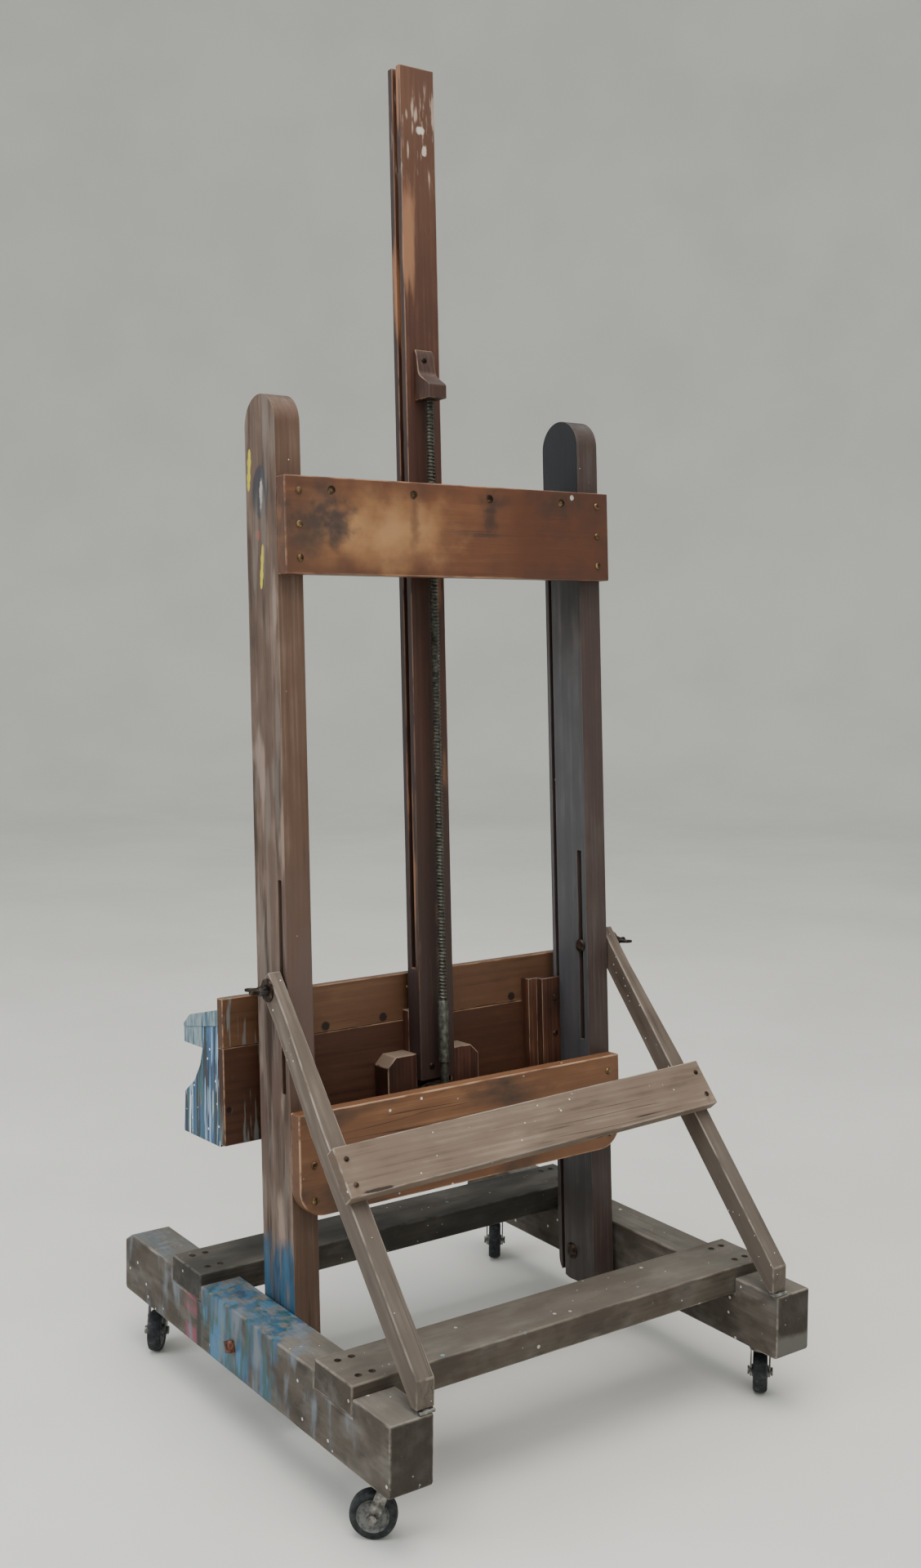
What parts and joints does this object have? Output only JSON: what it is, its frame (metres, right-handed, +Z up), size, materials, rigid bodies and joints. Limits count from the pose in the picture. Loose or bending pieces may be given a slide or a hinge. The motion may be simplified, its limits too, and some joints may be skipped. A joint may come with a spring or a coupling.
{
  "type": "studio easel",
  "caption": "Wheeled wooden studio easel whose mast and brush tray are lifted by a cranked lead screw, with a tilting frame held by folding braces.",
  "frame": {"origin": "on the floor under the middle of the base", "axes": "+Z up; the painter stands at -Y and looks along +Y, with the canvas between; +X is to the painter's right"},
  "size_m": [0.718, 0.735, 1.9013],
  "materials": {
    "weathered_base_wood": "weathered, matt",
    "post_wood": "old oiled wood",
    "orange_board_wood": "worn varnish",
    "pale_brace_wood": "dry, matt",
    "mast_wood": "dark stain, satin",
    "paint_spattered_wood": "dried paint over wood",
    "turned_handle_wood": "satin",
    "dark_steel": "oxidised",
    "zinc_steel": "dull zinc",
    "black_tyre": "matt"
  },
  "bodies": {
    "base": {"base_runner_right": "weathered_base_wood", "base_runner_left": "weathered_base_wood", "base_rail_front": "weathered_base_wood", "base_rail_rear": "weathered_base_wood", "base_lap_screws": "dark_steel", "pivot_bolts": "dark_steel", "pivot_nuts": "dark_steel", "pivot_spacers": "dark_steel", "caster_plates": "zinc_steel", "foot_hinge_lower": "dark_steel"},
    "tilting_frame": {"post_right": "post_wood", "post_left": "post_wood", "crossboard_upper": "orange_board_wood", "crossboard_lower": "orange_board_wood", "crossboard_screws": "dark_steel", "head_rail": "mast_wood", "lift_nut": "dark_steel", "mast_guides": "mast_wood"},
    "mast_and_tray": {"mast": "mast_wood", "screw_top_block": "mast_wood", "screw_yoke": "dark_steel", "mast_foot_blocks": "mast_wood", "mast_packer": "mast_wood", "apron_board_lower": "orange_board_wood", "apron_board_upper": "orange_board_wood", "guide_battens": "mast_wood", "batten_screws": "dark_steel", "canvas_ledge": "paint_spattered_wood", "ledge_strip": "paint_spattered_wood", "tray_cheek_right": "paint_spattered_wood", "tray_cheek_left": "paint_spattered_wood", "tray_bottom": "paint_spattered_wood", "tray_front_board": "paint_spattered_wood"},
    "lift_screw": {"lead_screw": "dark_steel", "screw_bevel_gear": "dark_steel"},
    "crank": {"crank_shaft": "dark_steel", "crank_pinion": "dark_steel", "crank_arm": "dark_steel", "crank_handle": "turned_handle_wood"},
    "braces": {"brace_right": "pale_brace_wood", "brace_left": "pale_brace_wood", "brace_crossboard": "pale_brace_wood", "brace_nails": "dark_steel", "foot_hinge_upper": "dark_steel"},
    "lock_bolts": {"lock_bolts": "dark_steel", "lock_washers": "dark_steel"},
    "wing_nut_right": {"wing_nut_right": "dark_steel"},
    "wing_nut_left": {"wing_nut_left": "dark_steel"},
    "caster_front_right": {"caster_fork_front_right": "zinc_steel", "caster_axle_front_right": "zinc_steel"},
    "wheel_front_right": {"caster_wheel_front_right": "black_tyre"},
    "caster_front_left": {"caster_fork_front_left": "zinc_steel", "caster_axle_front_left": "zinc_steel"},
    "wheel_front_left": {"caster_wheel_front_left": "black_tyre"},
    "caster_rear_right": {"caster_fork_rear_right": "zinc_steel", "caster_axle_rear_right": "zinc_steel"},
    "wheel_rear_right": {"caster_wheel_rear_right": "black_tyre"},
    "caster_rear_left": {"caster_fork_rear_left": "zinc_steel", "caster_axle_rear_left": "zinc_steel"},
    "wheel_rear_left": {"caster_wheel_rear_left": "black_tyre"}
  },
  "joints": [
    {"name": "frame_tilt", "type": "hinge", "parent": "base", "child": "tilting_frame", "pos_m": [0, -0.022, 0.119], "axis": [-1, 0, 0], "range_deg": [0, 16]},
    {"name": "brace_fold", "type": "hinge", "parent": "base", "child": "braces", "pos_m": [0, 0.3646, 0.1715], "axis": [-1, 0, 0], "range_deg": [0, 18.8]},
    {"name": "lock_bolt_slide", "type": "slide", "parent": "tilting_frame", "child": "lock_bolts", "axis": [0, -0.0527, 0.9986], "range_m": [0, 0.1235]},
    {"name": "mast_lift", "type": "slide", "parent": "tilting_frame", "child": "mast_and_tray", "axis": [0, -0.0527, 0.9986], "range_m": [-0.12, 0.655]},
    {"name": "screw_turn", "type": "hinge", "parent": "mast_and_tray", "child": "lift_screw", "pos_m": [0, -0.02632, 0.41919], "axis": [0, -0.0527, 0.9986], "continuous": true},
    {"name": "crank_turn", "type": "hinge", "parent": "mast_and_tray", "child": "crank", "pos_m": [0, -0.13645, 0.39035], "axis": [0, 0.9986, 0.0527], "continuous": true},
    {"name": "wing_nut_right_turn", "type": "hinge", "parent": "lock_bolts", "child": "wing_nut_right", "pos_m": [0.31, -0.01084, 0.60026], "axis": [1, 0, 0], "continuous": true},
    {"name": "wing_nut_left_turn", "type": "hinge", "parent": "lock_bolts", "child": "wing_nut_left", "pos_m": [-0.31, -0.01084, 0.60026], "axis": [1, 0, 0], "continuous": true},
    {"name": "caster_front_right_swivel", "type": "hinge", "parent": "base", "child": "caster_front_right", "pos_m": [0.316, -0.322, 0.07], "axis": [0, 0, 1], "continuous": true},
    {"name": "wheel_front_right_roll", "type": "hinge", "parent": "caster_front_right", "child": "wheel_front_right", "pos_m": [0.32563, -0.30922, 0.0295], "axis": [0.7986, -0.6018, 0], "continuous": true},
    {"name": "caster_front_left_swivel", "type": "hinge", "parent": "base", "child": "caster_front_left", "pos_m": [-0.316, -0.322, 0.07], "axis": [0, 0, 1], "continuous": true},
    {"name": "wheel_front_left_roll", "type": "hinge", "parent": "caster_front_left", "child": "wheel_front_left", "pos_m": [-0.30637, -0.30922, 0.0295], "axis": [0.7986, -0.6018, 0], "continuous": true},
    {"name": "caster_rear_right_swivel", "type": "hinge", "parent": "base", "child": "caster_rear_right", "pos_m": [0.316, 0.31, 0.07], "axis": [0, 0, 1], "continuous": true},
    {"name": "wheel_rear_right_roll", "type": "hinge", "parent": "caster_rear_right", "child": "wheel_rear_right", "pos_m": [0.32826, 0.29972, 0.0295], "axis": [-0.6428, -0.766, 0], "continuous": true},
    {"name": "caster_rear_left_swivel", "type": "hinge", "parent": "base", "child": "caster_rear_left", "pos_m": [-0.316, 0.31, 0.07], "axis": [0, 0, 1], "continuous": true},
    {"name": "wheel_rear_left_roll", "type": "hinge", "parent": "caster_rear_left", "child": "wheel_rear_left", "pos_m": [-0.32731, 0.29869, 0.0295], "axis": [-0.7071, 0.7071, 0], "continuous": true}
  ],
  "couplings": [
    {"joint": "brace_fold", "follows": "frame_tilt", "ratio": 1.17},
    {"joint": "lock_bolt_slide", "follows": "frame_tilt", "m_per_rad": 0.4412},
    {"joint": "crank_turn", "follows": "screw_turn", "ratio": -2}
  ]
}
